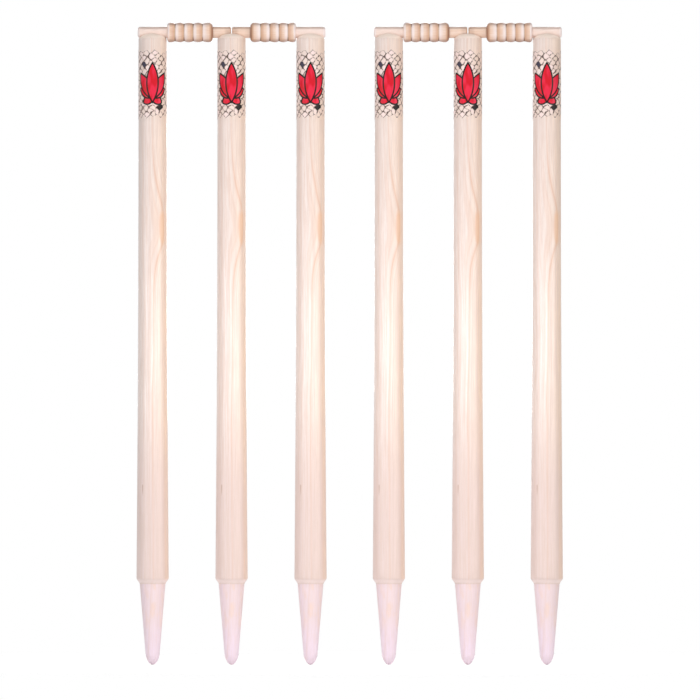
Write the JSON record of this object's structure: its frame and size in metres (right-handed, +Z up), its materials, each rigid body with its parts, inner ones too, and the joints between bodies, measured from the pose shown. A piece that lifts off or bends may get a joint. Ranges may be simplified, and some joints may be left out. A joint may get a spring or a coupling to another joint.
{
  "type": "cricket stumps",
  "caption": "Turned wooden cricket stumps with domed, grooved crowns, pointed ground spikes and loose beaded bails.",
  "frame": {"origin": "on the ground line, at the root of the spikes, midway between the two middle stumps", "axes": "+Z up along the stumps, +X from the left wicket to the right one, +Y away from the bowler"},
  "size_m": [0.5488, 0.0416, 0.8263],
  "materials": {
    "stump_wood": "satin",
    "bail_wood": "satin",
    "printed_film": "satin"
  },
  "bodies": {
    "middle_stumps": {"left_wicket_middle_stump": "stump_wood", "left_wicket_middle_label": "printed_film", "right_wicket_middle_stump": "stump_wood", "right_wicket_middle_label": "printed_film"},
    "left_outer_stump": {"left_wicket_outer_stump": "stump_wood", "left_wicket_outer_label": "printed_film"},
    "left_inner_stump": {"left_wicket_inner_stump": "stump_wood", "left_wicket_inner_label": "printed_film"},
    "right_inner_stump": {"right_wicket_inner_stump": "stump_wood", "right_wicket_inner_label": "printed_film"},
    "right_outer_stump": {"right_wicket_outer_stump": "stump_wood", "right_wicket_outer_label": "printed_film"},
    "left_outer_bail": {"left_wicket_outer_bail": "bail_wood"},
    "left_inner_bail": {"left_wicket_inner_bail": "bail_wood"},
    "right_inner_bail": {"right_wicket_inner_bail": "bail_wood"},
    "right_outer_bail": {"right_wicket_outer_bail": "bail_wood"}
  },
  "joints": [
    {"name": "left_outer_stump_draw", "type": "slide", "parent": "middle_stumps", "child": "left_outer_stump", "axis": [0, 0, 1], "range_m": [0, 0.102]},
    {"name": "left_inner_stump_draw", "type": "slide", "parent": "middle_stumps", "child": "left_inner_stump", "axis": [0, 0, 1], "range_m": [0, 0.102]},
    {"name": "right_inner_stump_draw", "type": "slide", "parent": "middle_stumps", "child": "right_inner_stump", "axis": [0, 0, 1], "range_m": [0, 0.102]},
    {"name": "right_outer_stump_draw", "type": "slide", "parent": "middle_stumps", "child": "right_outer_stump", "axis": [0, 0, 1], "range_m": [0, 0.102]},
    {"name": "left_outer_bail_lift", "type": "slide", "parent": "left_outer_stump", "child": "left_outer_bail", "axis": [0, 0, 1], "range_m": [0, 0.05]},
    {"name": "left_inner_bail_lift", "type": "slide", "parent": "left_inner_stump", "child": "left_inner_bail", "axis": [0, 0, 1], "range_m": [0, 0.05]},
    {"name": "right_inner_bail_lift", "type": "slide", "parent": "right_inner_stump", "child": "right_inner_bail", "axis": [0, 0, 1], "range_m": [0, 0.05]},
    {"name": "right_outer_bail_lift", "type": "slide", "parent": "right_outer_stump", "child": "right_outer_bail", "axis": [0, 0, 1], "range_m": [0, 0.05]}
  ]
}
